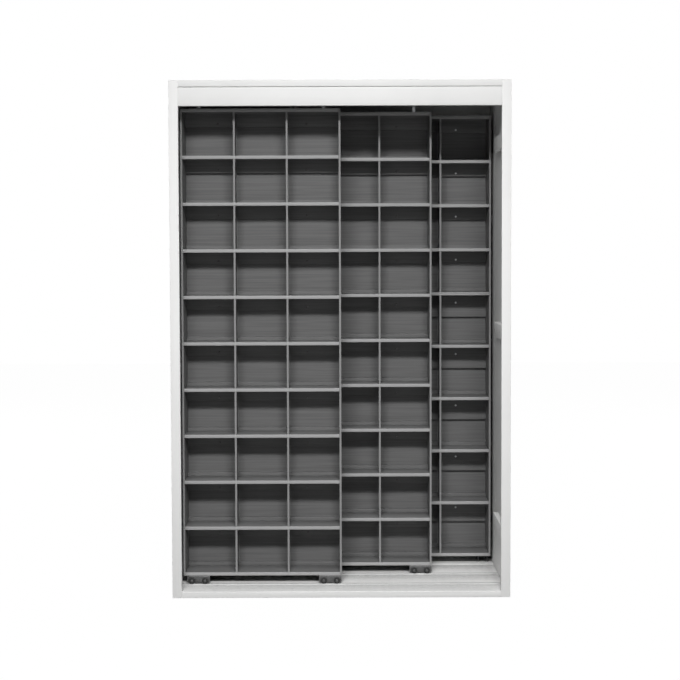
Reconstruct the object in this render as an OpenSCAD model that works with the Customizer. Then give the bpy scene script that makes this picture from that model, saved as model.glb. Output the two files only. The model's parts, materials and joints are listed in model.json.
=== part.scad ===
// A tall open-fronted cabinet with three planes of pigeonhole racks. The front rack and the
// middle rack roll sideways on wheels. The racks at the back are fixed, and each stands in two units.
// Millimetres. X runs to the right, the front faces -Y, and Z is up. The origin is at the centre
// of the base, on the floor.

/* [Cabinet] */
// Overall width
cab_w = 1312; // [1200:2:1400]
// Overall height
cab_h = 2000; // [1970:5:2060]
// Thickness of a side panel
side_t = 16; // [14:1:22]
// Width of a front stile
stile_w = 36; // [30:1:50]
// Thickness of a front stile, front to back
stile_t = 20; // [16:1:26]
// Thickness of the top panel
top_t = 25; // [18:1:30]
// Thickness of the back panel
back_t = 18; // [9:1:24]
// Thickness of the floor board
floor_t = 21; // [18:1:30]
// Height of the header fascia
header_h = 71; // [60:1:80]
// Thickness of the header fascia
header_t = 18; // [12:1:22]
// Open joint between the top panel and the header
header_joint = 2; // [1:0.5:4]
// Thickness of the track plates and of the sill
plate_t = 3; // [2:0.5:5]
// Open joint between two track plates
plate_joint = 2.5; // [1:0.5:4]
// Depth from the cabinet's front to the front rack
front_space = 115; // [100:1:140]

/* [Racks] */
// Gap between one rack plane and the next
plane_gap = 18; // [14:1:40]
// Room that a rack leaves in half the inner width
side_room = 10; // [1:0.5:14]
// Gap between the left fixed rack and the side panel
wall_gap = 6; // [0.4:0.1:10]
// Gap between the two fixed racks
rack_seam = 3; // [0.4:0.1:6]
// Space above the racks, for their guides
top_space = 71; // [60:1:90]
// Rows in a full rack
rows = 10; // [9:1:10]
// Columns in a rack
cols = 3; // [2:1:4]
// Rows in the upper unit of a fixed rack
upper_rows = 4; // [3:1:5]
// Rows in the lower unit of a fixed rack
lower_rows = 5; // [4:1:6]
// Height of a shelf's lip
lip_h = 13; // [10:0.5:20]
// Width of the edges of sides and dividers
edge_w = 8; // [6:0.5:14]
// Thickness of the sheet steel
sheet = 1.2; // [1:0.1:2]
// Depth that a folded edge is turned back
fold = 7; // [5:0.5:12]
// Depth of the shelves, up to the rear rails
shelf_d = 109; // [90:1:140]
// Depth of the rear rails, from the shelves to the rear sheet
rail_d = 15.8; // [12:0.2:24]
// Drop of a rear rail below a shelf
rail_drop = 49; // [42:1:60]
// Drop of the rear rails in the tall rows of a fixed rack
tall_drop = 97; // [60:1:110]
// Rise of a rear rail above a shelf
rail_rise = 13; // [8:1:20]
// Distance of a rail screw from the rack's centre line
screw_x = 178; // [120:1:190]
// Drop of a rail screw below a shelf
screw_drop = 36; // [20:1:36]

/* [Running gear] */
// Diameter of a wheel
wheel_dia = 25; // [20:0.5:27]
// Width of a wheel
wheel_w = 8; // [6:0.5:9]
// Diameter of an axle
axle_dia = 6; // [4:0.5:8]
// Distance between the two axles of a truck
wheel_base = 52; // [40:1:60]
// Length of a truck along the rack
truck_l = 90; // [84:1:94]
// Distance of a truck from the rack's end
truck_edge = 1; // [1:0.5:20]
// Distance that the left truck stands further in
left_truck_in = 14; // [0:1:40]
// Thickness of the truck plate
truck_t = 2; // [1.5:0.5:3]
// Space between a wheel and the truck's web
truck_clear = 4.7; // [3:0.1:8]
// Gap under the truck's plates
truck_gap = 4; // [3:0.5:6]
// Height of the guide rib on a track
rib_h = 2; // [1:0.5:2.5]
// Width of the guide rib on a track
rib_w = 3; // [2:0.5:4]
// Radial clearance of a turning wheel on its axle
run_gap = 0.08; // [0.04:0.01:0.1]
// Gap between a wheel and what it runs on or beside
wheel_gap = 0.3; // [0.2:0.05:0.5]

/* [Top guides and stops] */
// Inside width of a guide channel
channel_in = 20; // [16:1:26]
// Height of a guide channel
channel_h = 24; // [20:1:28]
// Wall of a guide channel
channel_t = 2; // [1.5:0.5:3]
// Clearance of a guide shoe in its channel, each side
shoe_gap = 1; // [0.5:0.1:2]
// Length of a guide shoe
shoe_l = 50; // [30:1:70]
// Distance of a guide bracket's centre from the rack's end
guide_inset = 50; // [40:1:90]
// Height of a stop batten
batten_h = 56; // [40:1:70]
// Length of a stop batten behind the front rack
batten_over = 7; // [2:1:12]
// Height of the lowest stop batten above the floor plates
batten_low = 198; // [100:1:300]
// Height of the middle stop batten
batten_mid = 1000; // [700:5:1200]
// Distance of the highest stop batten from the top panel
batten_high = 179; // [100:1:300]
// Gap between a closed rack and the side panel
end_gap = 12; // [2:0.5:16]
// Distance that the middle rack stands to the right of the front rack, at rest
middle_shift = 368; // [200:1:600]

/* [Hidden] */
$fn = 48;

// Colours
white_board = "#EAEAEA";
track_metal = "#D6D6D6";
rack_paint = "#9C9C9C";
bright_zinc = "#BEBEBE";
dark_nylon = "#262626";
pale_nylon = "#D8D8D0";

// Cabinet planes, with the depth counted from the front
rack_d = shelf_d + rail_d + sheet;
rack_pitch = rack_d + plane_gap;
cab_d = front_space + 2 * rack_pitch + rack_d + back_t;
front_y = -cab_d / 2;
inside_x = cab_w / 2 - side_t;
opening_x = cab_w / 2 - stile_w;
inside_d = cab_d - back_t;
floor_z = floor_t + plate_t;
ceiling_z = cab_h - top_t;
header_z = ceiling_z - header_joint - header_h;

// Rack planes, and heights above a rack's own underside
rack_w = inside_x - side_room;
rack_lift = wheel_gap + wheel_dia + truck_clear + truck_t;
rack_z = floor_z + rack_lift;
rack_h = ceiling_z - top_space - rack_z;
row_h = (rack_h - lip_h) / rows;
rack_depths = [for (i = [0:2]) front_space + i * rack_pitch];
front_rack_x = -inside_x + end_gap;
middle_rack_x = front_rack_x + middle_shift;
rear_left_x = -inside_x + wall_gap;
rear_rack_xs = [rear_left_x, rear_left_x + rack_w + rack_seam];
body_d = rack_d - sheet;
inner_w = rack_w - 2 * edge_w;
joint_z = (rows - upper_rows) * row_h;
joint_h = lip_h / 2;
tall_row_h = joint_z / lower_rows;
back_seam = 0.5;

// Levels are the heights of the shelves' undersides
full_levels = [for (i = [0:rows]) i * row_h];
upper_levels = [for (i = [0:upper_rows]) joint_z + i * row_h];
lower_levels = [for (i = [0:lower_rows]) i * tall_row_h];

// Screws
head_dia = 9;
head_h = 2.4;
shank_dia = 4;
screw_gap = 0.1;
rail_screw_l = rail_d - 4;
guide_screw_l = 14;
batten_screw_l = 28;
batten_screw_inset = 35;

// Running gear
wheel_r = wheel_dia / 2;
axle_z = floor_z + wheel_gap + wheel_r;
axle_gap = 0.05;
axle_head_dia = axle_dia + 4;
axle_head_h = 1.6;
tread_chamfer = 0.8;
groove_w = rib_w + 1;
groove_h = rib_h + 0.5;
front_wheel_d = -wheel_gap - wheel_w;
rear_wheel_d = shelf_d - truck_t - wheel_gap - wheel_w;
track_lead = 15.5;
truck_inset = truck_edge + truck_l / 2;
truck_xs = [truck_inset + left_truck_in, rack_w - truck_inset];
wheel_xs = [for (x = truck_xs) for (s = [-1, 1]) x + s * wheel_base / 2];
joint_ds = [for (d = rack_depths) d - track_lead];

// Top guides
guide_d = rack_d / 2;
channel_w = channel_in + 2 * channel_t;
channel_screw_xs = [for (i = [-1:1]) i * inside_x * 0.9];
shoe_w = channel_in - 2 * shoe_gap;
shoe_h = 14;
shoe_z = ceiling_z - channel_t - head_h - 1 - shoe_h;
bracket_t = 3;
bracket_l = 70;
bracket_w = 24;
bracket_screw_x = 29.5;
post_x = 18;
post_w = 12;
post_t = 8;

// Stops, from the stile to their inner ends
batten_t = inside_x - opening_x;
batten_l = front_space + rack_d + batten_over - stile_t;
batten_zs = [floor_z + batten_low, batten_mid, ceiling_z - batten_high - batten_h];

// Places a shape by its left end, its depth from the cabinet's front and its height
module at(x, d, z) {
    translate([x, front_y + d, z]) children();
}

// Places the pieces of one rack by the rack's left end and its plane
module in_rack(x, plane) {
    at(x, rack_depths[plane], rack_z) children();
}

// Shapes that all racks share, measured from a rack's left front corner at its underside

// A folded tray, open below, with its front lip turned back
module tray(z, h) {
    translate([edge_w, 0, z]) {
        difference() {
            cube([inner_w, shelf_d, h]);
            translate([sheet, sheet, -sheet]) cube([inner_w - 2 * sheet, shelf_d - 2 * sheet, h]);
        }
        cube([inner_w, fold, sheet]);
    }
}

// A tray whose skin runs on over the sides and back to the rear sheet
module cover_tray(z, h) {
    tray(z, h);
    translate([0, 0, z + h - sheet]) cube([rack_w, body_d, sheet]);
}

// A side is a folded channel, open to the rear, and its front is the edge that shows
module side(x, z, h) {
    translate([x, 0, z]) difference() {
        cube([edge_w, body_d, h]);
        translate([sheet, sheet, -1]) cube([edge_w - 2 * sheet, body_d, h + 2]);
    }
}

module side_pair(z, h) {
    side(0, z, h);
    side(rack_w - edge_w, z, h);
}

// A divider is a sheet with a folded edge, between two shelves
module divider(x, z, h) {
    translate([x, 0, z]) {
        translate([-sheet / 2, 0, 0]) cube([sheet, shelf_d, h]);
        difference() {
            translate([-edge_w / 2, 0, 0]) cube([edge_w, fold, h]);
            for (s = [0, 1])
                mirror([s, 0, 0]) translate([sheet / 2, sheet, -1])
                    cube([edge_w / 2 - 1.5 * sheet, fold, h + 2]);
        }
    }
}

module divider_rows(levels, row) {
    for (i = [0:len(levels) - 2])
        for (c = [1:cols - 1])
            divider(edge_w / 2 + c * (rack_w - edge_w) / cols, levels[i] + lip_h, row - lip_h);
}

// A rear rail is a channel that stands off the rear sheet and closes the shelf's rear edge
module rail(z0, z1, hole_z) {
    difference() {
        translate([edge_w, shelf_d, z0]) cube([inner_w, rail_d, z1 - z0]);
        translate([edge_w - 1, shelf_d + sheet, z0 + sheet])
            cube([inner_w + 2, body_d, z1 - z0 - 2 * sheet]);
        for (s = [-1, 1])
            translate([rack_w / 2 + s * screw_x, shelf_d - 1, hole_z])
                rotate([-90, 0, 0]) cylinder(d = shank_dia + 2 * screw_gap, h = sheet + 2);
    }
}

module foot_rail(z, base_h) {
    translate([edge_w, shelf_d, z]) difference() {
        cube([inner_w, rail_d, base_h + rail_rise]);
        translate([-1, sheet, sheet]) cube([inner_w + 2, body_d, base_h + rail_rise - 2 * sheet]);
    }
}

// All the rails of one unit, from its foot to its cover
module rails(levels, drop, low_z, foot_h, top_z) {
    foot_rail(low_z, foot_h);
    for (i = [1:len(levels) - 1]) {
        last = i == len(levels) - 1;
        rail(levels[i] - drop, last ? top_z : levels[i] + lip_h + rail_rise, levels[i] - screw_drop);
    }
}

// A pan-head screw whose head stands on the plane z = 0, with its shank below
module pan_screw(length) {
    translate([0, 0, -length]) cylinder(d = shank_dia, h = length + head_h / 2);
    rotate_extrude() intersection() {
        translate([0, head_h - head_dia * 0.72]) circle(r = head_dia * 0.72);
        square([head_dia / 2, head_h]);
    }
}

module rail_screws(levels) {
    for (i = [1:len(levels) - 1])
        for (s = [-1, 1])
            translate([rack_w / 2 + s * screw_x, shelf_d, levels[i] - screw_drop])
                rotate([90, 0, 0]) pan_screw(rail_screw_l);
}

// The cabinet's case

module left_side_panel() {
    color(white_board) at(-cab_w / 2, stile_t, 0) cube([side_t, cab_d - stile_t, cab_h]);
}

module right_side_panel() {
    color(white_board) difference() {
        at(inside_x, stile_t, 0) cube([side_t, cab_d - stile_t, cab_h]);
        batten_screw_places() batten_screw(screw_gap);
    }
}

module left_stile() {
    color(white_board) at(-cab_w / 2, 0, 0) cube([stile_w, stile_t, cab_h]);
}

module right_stile() {
    color(white_board) at(opening_x, 0, 0) cube([stile_w, stile_t, cab_h]);
}

module top_panel() {
    color(white_board) difference() {
        union() {
            at(-opening_x, 0, ceiling_z) cube([2 * opening_x, inside_d, top_t]);
            at(-inside_x, stile_t, ceiling_z) cube([2 * inside_x, inside_d - stile_t, top_t]);
        }
        for (plane = [0, 1])
            guide_screw_places(plane)
                translate([0, 0, -guide_screw_l])
                    cylinder(d = shank_dia + 2 * screw_gap, h = guide_screw_l + 1);
    }
}

module header_fascia() {
    color(white_board) at(-opening_x, 0, header_z) cube([2 * opening_x, header_t, header_h]);
}

module back_panel() {
    color(white_board) at(-inside_x, inside_d, 0) cube([2 * inside_x, back_t, cab_h]);
}

module floor_panel() {
    color(white_board) {
        at(-opening_x, plate_t, 0) cube([2 * opening_x, inside_d - plate_t, floor_t]);
        at(-inside_x, stile_t, 0) cube([2 * inside_x, inside_d - stile_t, floor_t]);
    }
}

// The sill covers the floor board's front edge
module front_sill() {
    sill_d = joint_ds[0] - plate_joint / 2;
    color(track_metal) {
        at(-opening_x, 0, 0) cube([2 * opening_x, plate_t, floor_z]);
        at(-opening_x, 0, floor_t) cube([2 * opening_x, sill_d, plate_t]);
        at(-inside_x, stile_t, floor_t) cube([2 * inside_x, sill_d - stile_t, plate_t]);
    }
}

// One track plate from joint to joint, with the rib that guides the front wheels
module track(plane) {
    rib_d = rack_depths[plane] + front_wheel_d + wheel_w / 2 - rib_w / 2;
    color(track_metal) {
        at(-inside_x, joint_ds[plane] + plate_joint / 2, floor_t)
            cube([2 * inside_x, rack_pitch - plate_joint, plate_t]);
        at(-inside_x, rib_d, floor_t) cube([2 * inside_x, rib_w, plate_t + rib_h]);
    }
}

module front_track() {
    track(0);
}

module middle_track() {
    track(1);
}

module rear_plinth() {
    start = joint_ds[2] + plate_joint / 2;
    color(track_metal) at(-inside_x, start, floor_t)
        cube([2 * inside_x, inside_d - start, plate_t]);
}

// The inverted channel under the top panel that a rack's guide shoes run in
module guide_channel(plane) {
    color(bright_zinc) difference() {
        at(-inside_x, rack_depths[plane] + guide_d - channel_w / 2, ceiling_z - channel_h)
            cube([2 * inside_x, channel_w, channel_h]);
        at(-inside_x - 1, rack_depths[plane] + guide_d - channel_in / 2, ceiling_z - channel_h - 1)
            cube([2 * inside_x + 2, channel_in, channel_h + 1 - channel_t]);
        guide_screw_places(plane)
            translate([0, 0, -guide_screw_l]) cylinder(d = shank_dia + 2 * screw_gap, h = guide_screw_l + 1);
    }
}

module front_guide_channel() {
    guide_channel(0);
}

module middle_guide_channel() {
    guide_channel(1);
}

// Upside-down places, so that a screw's head hangs below the channel's web
module guide_screw_places(plane) {
    for (x = channel_screw_xs)
        at(x, rack_depths[plane] + guide_d, ceiling_z - channel_t) rotate([180, 0, 0]) children();
}

module guide_screws() {
    color(bright_zinc) for (plane = [0, 1])
        guide_screw_places(plane) pan_screw(guide_screw_l);
}

// Battens on the right side panel, flush with the stile, that stop the front rack
module stop_battens() {
    color(white_board) difference() {
        for (z = batten_zs)
            at(opening_x, stile_t, z) cube([batten_t, batten_l, batten_h]);
        batten_screw_places() batten_screw(screw_gap);
    }
}

// Places on the battens' faces, where the z axis points out of the face
module batten_screw_places() {
    for (z = batten_zs)
        for (d = [stile_t + batten_screw_inset, stile_t + batten_l - batten_screw_inset])
            at(opening_x, d, z + batten_h / 2) rotate([0, -90, 0]) children();
}

// A countersunk screw, flush with the plane z = 0, and the hole for it with a gap all round
module batten_screw(gap) {
    translate([0, 0, -head_h]) cylinder(d1 = shank_dia + 2 * gap, d2 = head_dia + 2 * gap, h = head_h);
    translate([0, 0, -batten_screw_l - gap]) cylinder(d = shank_dia + 2 * gap, h = batten_screw_l + gap);
}

module batten_screws() {
    color(bright_zinc) batten_screw_places() batten_screw(0);
}

// The fixed racks at the back, each a lower unit with an upper unit on top

module in_rear_racks() {
    for (x = rear_rack_xs)
        in_rack(x, 2) children();
}

module rear_upper_sides() {
    start = joint_z + joint_h;
    color(rack_paint) in_rear_racks() side_pair(start, rack_h - sheet - start);
}

module rear_upper_plates() {
    color(rack_paint) in_rear_racks() {
        cover_tray(rack_h - lip_h, lip_h);
        tray(joint_z + joint_h, joint_h);
    }
}

module rear_lower_sides() {
    color(rack_paint) in_rear_racks() side_pair(0, joint_z + joint_h - sheet);
}

module rear_lower_plates() {
    color(rack_paint) in_rear_racks() {
        cover_tray(joint_z, joint_h);
        tray(0, lip_h);
    }
}

module rear_rack_backs() {
    start = joint_z + joint_h;
    color(rack_paint) in_rear_racks() {
        translate([0, body_d, 0]) cube([rack_w, sheet, start - back_seam]);
        translate([0, body_d, start]) cube([rack_w, sheet, rack_h - start]);
    }
}

module rear_rack_shelves() {
    color(rack_paint) in_rear_racks() {
        for (i = [1:lower_rows - 1]) tray(lower_levels[i], lip_h);
        for (i = [1:upper_rows - 1]) tray(upper_levels[i], lip_h);
    }
}

module rear_rack_dividers() {
    color(rack_paint) in_rear_racks() {
        divider_rows(lower_levels, tall_row_h);
        divider_rows(upper_levels, row_h);
    }
}

module rear_rack_rails() {
    start = joint_z + joint_h;
    color(rack_paint) in_rear_racks() {
        rails(lower_levels, tall_drop, 0, lip_h, start - sheet);
        rails(upper_levels, rail_drop, start, joint_h, rack_h - sheet);
    }
}

// Short folded feet, set back under the racks' ends
module rear_rack_feet() {
    foot_w = 40;
    foot_l = 70;
    foot_d = 30;
    color(rack_paint) in_rear_racks() for (x = [edge_w, rack_w - edge_w - foot_w])
        translate([x, foot_d, -rack_lift]) difference() {
            cube([foot_w, foot_l, rack_lift]);
            translate([truck_t, -1, -1]) cube([foot_w - 2 * truck_t, foot_l + 2, rack_lift + 1 - truck_t]);
        }
}

module rear_rack_screws() {
    color(bright_zinc) in_rear_racks() {
        rail_screws(lower_levels);
        rail_screws(upper_levels);
    }
}

// The two racks that roll

module rack_sides(x, plane) {
    color(rack_paint) in_rack(x, plane) side_pair(0, rack_h - sheet);
}

module rack_top(x, plane) {
    color(rack_paint) in_rack(x, plane) difference() {
        cover_tray(rack_h - lip_h, lip_h);
        bracket_screw_places()
            translate([0, 0, -lip_h]) cylinder(d = shank_dia + 2 * screw_gap, h = 2 * lip_h);
    }
}

module rack_base(x, plane) {
    color(rack_paint) in_rack(x, plane) tray(0, lip_h);
}

module rack_shelves(x, plane) {
    color(rack_paint) in_rack(x, plane)
        for (i = [1:rows - 1]) tray(full_levels[i], lip_h);
}

module rack_dividers(x, plane) {
    color(rack_paint) in_rack(x, plane) divider_rows(full_levels, row_h);
}

module rack_back(x, plane) {
    color(rack_paint) in_rack(x, plane) translate([0, body_d, 0]) cube([rack_w, sheet, rack_h]);
}

module rack_rails(x, plane) {
    color(rack_paint) in_rack(x, plane) rails(full_levels, rail_drop, 0, lip_h, rack_h - sheet);
}

module rack_screws(x, plane) {
    color(bright_zinc) in_rack(x, plane) {
        rail_screws(full_levels);
        bracket_screw_places() pan_screw(rail_screw_l);
    }
}

// A truck is a plate folded down at the front and at the rear, bored for two axles
module trucks(x, plane) {
    color(bright_zinc) in_rack(x, plane) difference() {
        for (tx = truck_xs)
            translate([tx - truck_l / 2, 0, truck_gap - rack_lift]) difference() {
                cube([truck_l, shelf_d, rack_lift - truck_gap]);
                translate([-1, truck_t, -1])
                    cube([truck_l + 2, shelf_d - 2 * truck_t, rack_lift - truck_gap + 1 - truck_t]);
            }
        for (wx = wheel_xs)
            translate([wx, -1, axle_z - rack_z]) rotate([-90, 0, 0])
                cylinder(d = axle_dia + 2 * axle_gap, h = shelf_d + 2);
    }
}

// An axle has a head in front of its front wheel and a collar in front of its rear wheel
module axles(x, plane) {
    front_end = front_wheel_d - wheel_gap - axle_head_h;
    color(bright_zinc) in_rack(x, plane) for (wx = wheel_xs)
        translate([wx, 0, axle_z - rack_z]) rotate([-90, 0, 0]) {
            translate([0, 0, front_end]) cylinder(d = axle_dia, h = shelf_d - front_end);
            translate([0, 0, front_end]) cylinder(d = axle_head_dia, h = axle_head_h);
            translate([0, 0, rear_wheel_d - wheel_gap - axle_head_h])
                cylinder(d = axle_head_dia, h = axle_head_h);
        }
}

// Half of a plain wheel's section, from its bore to its tread
module wheel_section() {
    bore_r = axle_dia / 2 + run_gap;
    polygon([
        [bore_r, 0], [wheel_r - tread_chamfer, 0], [wheel_r, tread_chamfer],
        [wheel_r, wheel_w - tread_chamfer], [wheel_r - tread_chamfer, wheel_w], [bore_r, wheel_w],
    ]);
}

// The grooved front wheel and the plain rear wheel of one axle
module wheels(x, plane, index) {
    color(dark_nylon) in_rack(x, plane) translate([wheel_xs[index], 0, axle_z - rack_z])
        rotate([-90, 0, 0]) {
            translate([0, 0, front_wheel_d]) rotate_extrude() difference() {
                wheel_section();
                translate([wheel_r - groove_h, (wheel_w - groove_w) / 2]) square([groove_h + 1, groove_w]);
            }
            translate([0, 0, rear_wheel_d]) rotate_extrude() wheel_section();
        }
}

// Places on the racks' guide brackets, on the brackets' upper face
module bracket_screw_places() {
    for (side = [0, 1])
        for (s = [-1, 1])
            translate([guide_x(side) + s * bracket_screw_x, guide_d, rack_h + bracket_t]) children();
}

// Centre of a guide bracket, and the way from it to the rack's middle
function guide_x(side) = side == 0 ? guide_inset : rack_w - guide_inset;
function inward(side) = side == 0 ? 1 : -1;

// A bracket is a plate on the rack's top with a post that reaches into the channel
module guide_brackets(x, plane) {
    color(bright_zinc) in_rack(x, plane) difference() {
        for (side = [0, 1]) {
            translate([guide_x(side) - bracket_l / 2, guide_d - bracket_w / 2, rack_h])
                cube([bracket_l, bracket_w, bracket_t]);
            translate([guide_x(side) + inward(side) * post_x - post_w / 2, guide_d - post_t / 2, rack_h])
                cube([post_w, post_t, shoe_z - rack_z - rack_h]);
        }
        bracket_screw_places()
            translate([0, 0, -bracket_t - 1]) cylinder(d = shank_dia + 2 * screw_gap, h = bracket_t + 2);
    }
}

module guide_shoes(x, plane) {
    color(pale_nylon) in_rack(x, plane) for (side = [0, 1])
        translate([guide_x(side) + inward(side) * post_x - shoe_l / 2, guide_d - shoe_w / 2, shoe_z - rack_z])
            cube([shoe_l, shoe_w, shoe_h]);
}

module front_rack_sides() { rack_sides(front_rack_x, 0); }
module front_rack_top() { rack_top(front_rack_x, 0); }
module front_rack_base() { rack_base(front_rack_x, 0); }
module front_rack_shelves() { rack_shelves(front_rack_x, 0); }
module front_rack_dividers() { rack_dividers(front_rack_x, 0); }
module front_rack_back() { rack_back(front_rack_x, 0); }
module front_rack_rails() { rack_rails(front_rack_x, 0); }
module front_rack_screws() { rack_screws(front_rack_x, 0); }
module front_rack_trucks() { trucks(front_rack_x, 0); }
module front_rack_axles() { axles(front_rack_x, 0); }
module front_guide_brackets() { guide_brackets(front_rack_x, 0); }
module front_guide_shoes() { guide_shoes(front_rack_x, 0); }
module front_wheels(index) { wheels(front_rack_x, 0, index); }

module middle_rack_sides() { rack_sides(middle_rack_x, 1); }
module middle_rack_top() { rack_top(middle_rack_x, 1); }
module middle_rack_base() { rack_base(middle_rack_x, 1); }
module middle_rack_shelves() { rack_shelves(middle_rack_x, 1); }
module middle_rack_dividers() { rack_dividers(middle_rack_x, 1); }
module middle_rack_back() { rack_back(middle_rack_x, 1); }
module middle_rack_rails() { rack_rails(middle_rack_x, 1); }
module middle_rack_screws() { rack_screws(middle_rack_x, 1); }
module middle_rack_trucks() { trucks(middle_rack_x, 1); }
module middle_rack_axles() { axles(middle_rack_x, 1); }
module middle_guide_brackets() { guide_brackets(middle_rack_x, 1); }
module middle_guide_shoes() { guide_shoes(middle_rack_x, 1); }
module middle_wheels(index) { wheels(middle_rack_x, 1, index); }

left_side_panel();
right_side_panel();
left_stile();
right_stile();
top_panel();
header_fascia();
back_panel();
floor_panel();
front_sill();
front_track();
middle_track();
rear_plinth();
front_guide_channel();
middle_guide_channel();
stop_battens();
batten_screws();
guide_screws();
rear_upper_sides();
rear_upper_plates();
rear_lower_sides();
rear_lower_plates();
rear_rack_backs();
rear_rack_shelves();
rear_rack_dividers();
rear_rack_rails();
rear_rack_feet();
rear_rack_screws();
front_rack_sides();
front_rack_top();
front_rack_base();
front_rack_shelves();
front_rack_dividers();
front_rack_back();
front_rack_rails();
front_rack_screws();
front_rack_trucks();
front_rack_axles();
front_guide_brackets();
front_guide_shoes();
front_wheels(0);  // front_wheels_1
front_wheels(1);  // front_wheels_2
front_wheels(2);  // front_wheels_3
front_wheels(3);  // front_wheels_4
middle_rack_sides();
middle_rack_top();
middle_rack_base();
middle_rack_shelves();
middle_rack_dividers();
middle_rack_back();
middle_rack_rails();
middle_rack_screws();
middle_rack_trucks();
middle_rack_axles();
middle_guide_brackets();
middle_guide_shoes();
middle_wheels(0);  // middle_wheels_1
middle_wheels(1);  // middle_wheels_2
middle_wheels(2);  // middle_wheels_3
middle_wheels(3);  // middle_wheels_4
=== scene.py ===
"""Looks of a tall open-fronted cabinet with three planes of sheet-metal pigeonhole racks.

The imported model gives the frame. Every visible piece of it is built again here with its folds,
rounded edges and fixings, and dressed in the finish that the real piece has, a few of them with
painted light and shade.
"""

import json
import logging
import math
from dataclasses import dataclass, field
from enum import Enum
from typing import Callable, Sequence

import bmesh
import bpy
from mathutils import Matrix, Vector

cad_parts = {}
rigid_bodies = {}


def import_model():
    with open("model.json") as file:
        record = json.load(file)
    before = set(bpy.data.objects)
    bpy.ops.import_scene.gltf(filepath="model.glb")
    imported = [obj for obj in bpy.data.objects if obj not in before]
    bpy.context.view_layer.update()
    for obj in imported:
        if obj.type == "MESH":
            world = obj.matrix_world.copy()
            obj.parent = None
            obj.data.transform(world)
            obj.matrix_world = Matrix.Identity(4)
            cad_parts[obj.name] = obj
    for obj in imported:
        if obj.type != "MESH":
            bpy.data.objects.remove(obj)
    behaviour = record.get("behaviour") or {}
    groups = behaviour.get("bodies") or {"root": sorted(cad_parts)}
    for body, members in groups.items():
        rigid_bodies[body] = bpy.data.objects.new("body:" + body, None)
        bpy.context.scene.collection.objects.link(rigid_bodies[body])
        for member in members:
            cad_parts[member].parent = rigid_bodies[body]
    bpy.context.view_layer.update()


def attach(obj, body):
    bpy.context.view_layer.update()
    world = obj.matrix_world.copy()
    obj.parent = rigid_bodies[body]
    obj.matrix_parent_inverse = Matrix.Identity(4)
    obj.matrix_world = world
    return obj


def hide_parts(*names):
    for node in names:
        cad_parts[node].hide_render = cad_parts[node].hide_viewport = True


LOG = logging.getLogger("cabinet")
MM = 0.001
PHOTO_SIDE = 680
SENSOR = 36.0
# Two faces that meet at more than this angle, in radians, make a fold or a corner
BENT = 0.3
# From a rack's front plane back to the middle of its guide channel, in millimetres
GUIDE_LINE = 63.0

Piece = bpy.types.Object
Tree = bpy.types.NodeTree
Socket = bpy.types.NodeSocket
Point = tuple[float, float, float]
PartTest = Callable[[object], bool]
Fold = tuple[PartTest, Point]


class Body(str, Enum):
    """The moving groups that a piece can ride on."""

    CABINET = "cabinet"
    FRONT = "front_rack"
    MIDDLE = "middle_rack"


class Slot(str, Enum):
    """The record's material slots."""

    BOARD = "white_board"
    TRACK = "track_metal"
    RACK = "rack_paint"
    ZINC = "bright_zinc"
    BLACK_NYLON = "dark_nylon"
    PALE_NYLON = "pale_nylon"


# Modelling by hand, with Blender's own operators


def deselect() -> None:
    """Deselects every object."""
    for item in bpy.context.scene.objects:
        item.select_set(False)


def pick(piece: Piece) -> None:
    """Makes one object the only selected and active one.

    Args:
        piece: The object.
    """
    deselect()
    piece.select_set(True)
    bpy.context.view_layer.objects.active = piece


def rename(name: str) -> Piece:
    """Names the active object and its mesh.

    Args:
        name: The new name.

    Returns:
        The object.
    """
    piece = bpy.context.view_layer.objects.active
    piece.name = name
    piece.data.name = name
    return piece


def cube(name: str, low: Point, high: Point) -> Piece:
    """Adds a box between two corners, given in millimetres.

    Args:
        name: The object's name.
        low: The lowest corner.
        high: The highest corner.

    Returns:
        The box, with its place and size in its mesh.
    """
    deselect()
    middle = [(a + b) / 2 * MM for a, b in zip(low, high)]
    size = [(b - a) * MM for a, b in zip(low, high)]
    bpy.ops.mesh.primitive_cube_add(size=1, location=middle, scale=size)
    piece = rename(name)
    settle(piece)
    return piece


def plate(name: str, low: Point, high: Point) -> Piece:
    """Adds a flat face between two corners that share one coordinate, in millimetres.

    Args:
        name: The object's name.
        low: The lowest corner.
        high: The highest corner.

    Returns:
        The face, with its place and size in its mesh.
    """
    deselect()
    size = [(b - a) * MM for a, b in zip(low, high)]
    flat = size.index(min(size))
    turn = [(0.0, math.pi / 2, 0.0), (math.pi / 2, 0.0, 0.0), (0.0, 0.0, 0.0)][flat]
    spans = [(size[2], size[1], 1.0), (size[0], size[2], 1.0), (size[0], size[1], 1.0)][flat]
    middle = [(a + b) / 2 * MM for a, b in zip(low, high)]
    bpy.ops.mesh.primitive_plane_add(size=1, location=middle, rotation=turn)
    piece = rename(name)
    piece.scale = spans
    settle(piece)
    return piece


def settle(piece: Piece) -> None:
    """Moves an object's place, turn and size into its mesh."""
    pick(piece)
    bpy.ops.object.transform_apply(location=True, rotation=True, scale=True)


def choose(piece: Piece, kind: str, test: PartTest) -> None:
    """Selects the parts of a mesh that pass a test, and no others.

    Args:
        piece: The object in edit mode.
        kind: VERT, EDGE or FACE.
        test: Takes one part of that kind.
    """
    bpy.ops.mesh.select_mode(type=kind)
    mesh = bmesh.from_edit_mesh(piece.data)
    for part in {"VERT": mesh.verts, "EDGE": mesh.edges, "FACE": mesh.faces}[kind]:
        part.select_set(test(part))
    mesh.select_flush_mode()
    bmesh.update_edit_mesh(piece.data)


def near(a: float, b: float) -> bool:
    """Tells whether two lengths in millimetres agree to a hundredth."""
    return abs(a - b) < 0.01


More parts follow.
